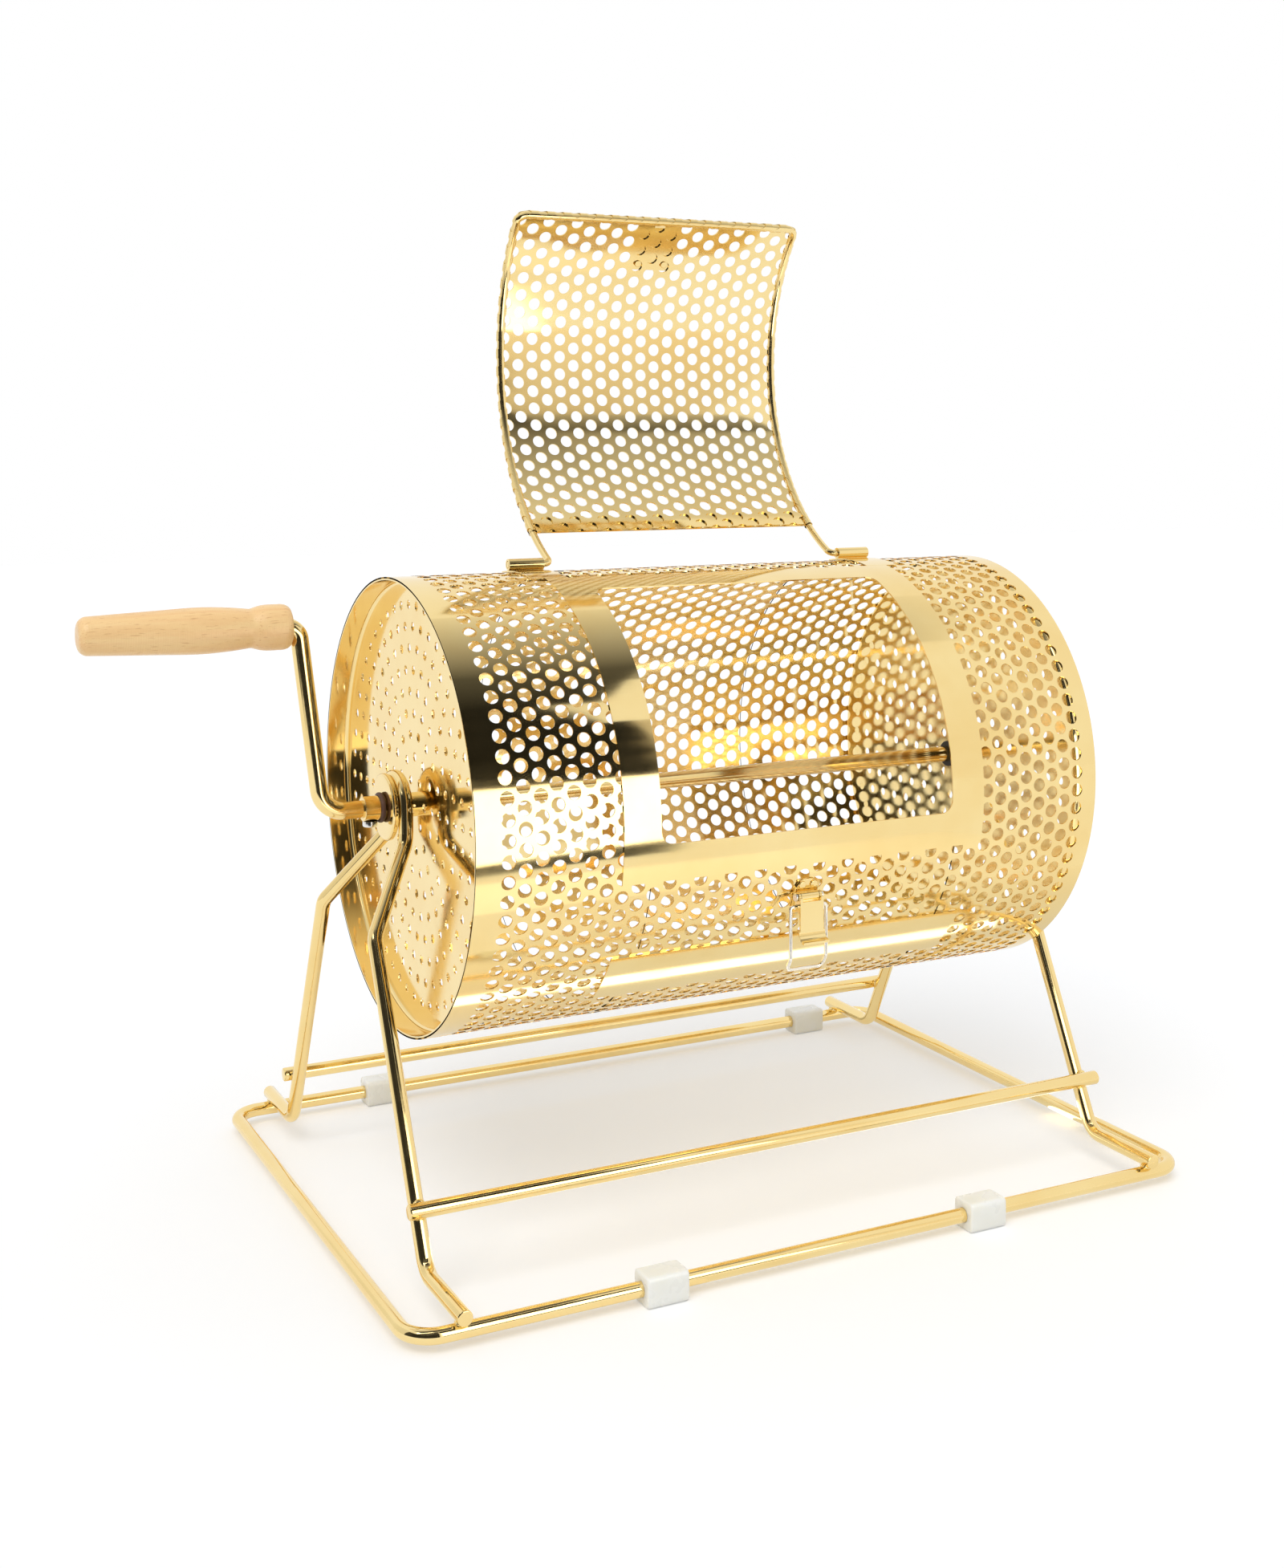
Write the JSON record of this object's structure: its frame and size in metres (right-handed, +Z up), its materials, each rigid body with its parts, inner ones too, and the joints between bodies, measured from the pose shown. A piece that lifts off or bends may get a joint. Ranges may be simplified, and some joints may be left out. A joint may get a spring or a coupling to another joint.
{
  "type": "raffle drum with crank",
  "caption": "Round drum on its side in a bent-wire stand, turned by an offset crank with a turned grip, with a curved hinged door in its wall, held shut by a lever latch with a wire bail.",
  "frame": {"origin": "middle of the whole object's box in plan, on the surface it stands on", "axes": "+X along the drum's axle away from the crank, +Y from the door's side to the back, +Z up"},
  "size_m": [0.5782, 0.3514, 0.557],
  "materials": {
    "gold_wire": "polished",
    "gold_sheet": "polished",
    "gold_tube": "polished",
    "gold_rod": "polished",
    "pale_wire": "polished",
    "bright_steel": "polished",
    "clear_plastic": "gloss",
    "beech": "satin",
    "brown_rubber": "matt",
    "black_rubber": "matt"
  },
  "bodies": {
    "stand": {"base_loop": "gold_wire", "left_side_frame": "gold_wire", "right_side_frame": "gold_wire", "front_cross_rod": "gold_wire", "rear_cross_rod": "gold_wire", "left_bearing_disc": "gold_wire", "right_bearing_disc": "gold_wire", "front_left_foot": "clear_plastic", "front_right_foot": "clear_plastic", "rear_left_foot": "clear_plastic", "rear_right_foot": "clear_plastic"},
    "drum": {"drum_shell": "gold_sheet", "left_end_cap": "gold_sheet", "right_end_cap": "gold_sheet", "door_frame_plate": "gold_sheet", "latch_strip": "gold_sheet", "left_hub_tube": "gold_tube", "right_hub_tube": "gold_tube", "crank_axle": "gold_rod", "crank_set_screw": "bright_steel", "outer_friction_ring": "brown_rubber", "inner_friction_ring": "black_rubber", "grip_ring": "bright_steel", "left_hinge_clip": "gold_sheet", "right_hinge_clip": "gold_sheet", "latch_base": "gold_sheet", "latch_rivets": "gold_rod", "latch_pin": "gold_rod"},
    "grip": {"crank_grip": "beech"},
    "door": {"door_panel": "gold_sheet", "door_wire": "gold_wire", "door_keeper": "gold_sheet", "keeper_rivets": "gold_rod"},
    "lever": {"latch_lever": "gold_sheet"},
    "bail": {"latch_bail": "pale_wire"}
  },
  "joints": [
    {"name": "drum_spin", "type": "hinge", "parent": "stand", "child": "drum", "pos_m": [0.0654, 0, 0.225], "axis": [1, 0, 0], "continuous": true},
    {"name": "grip_spin", "type": "hinge", "parent": "drum", "child": "grip", "pos_m": [-0.2341, 0, 0.326], "axis": [1, 0, 0], "continuous": true},
    {"name": "door_hinge", "type": "hinge", "parent": "drum", "child": "door", "pos_m": [0.0654, 0.00834, 0.35394], "axis": [1, 0, 0], "range_deg": [0, 150.5]},
    {"name": "latch_lever", "type": "hinge", "parent": "drum", "child": "lever", "pos_m": [0.0654, -0.12084, 0.17958], "axis": [1, 0, 0], "range_deg": [-90, 5]},
    {"name": "latch_bail", "type": "hinge", "parent": "lever", "child": "bail", "pos_m": [0.0654, -0.12084, 0.17458], "axis": [1, 0, 0], "range_deg": [-70, 20]}
  ]
}
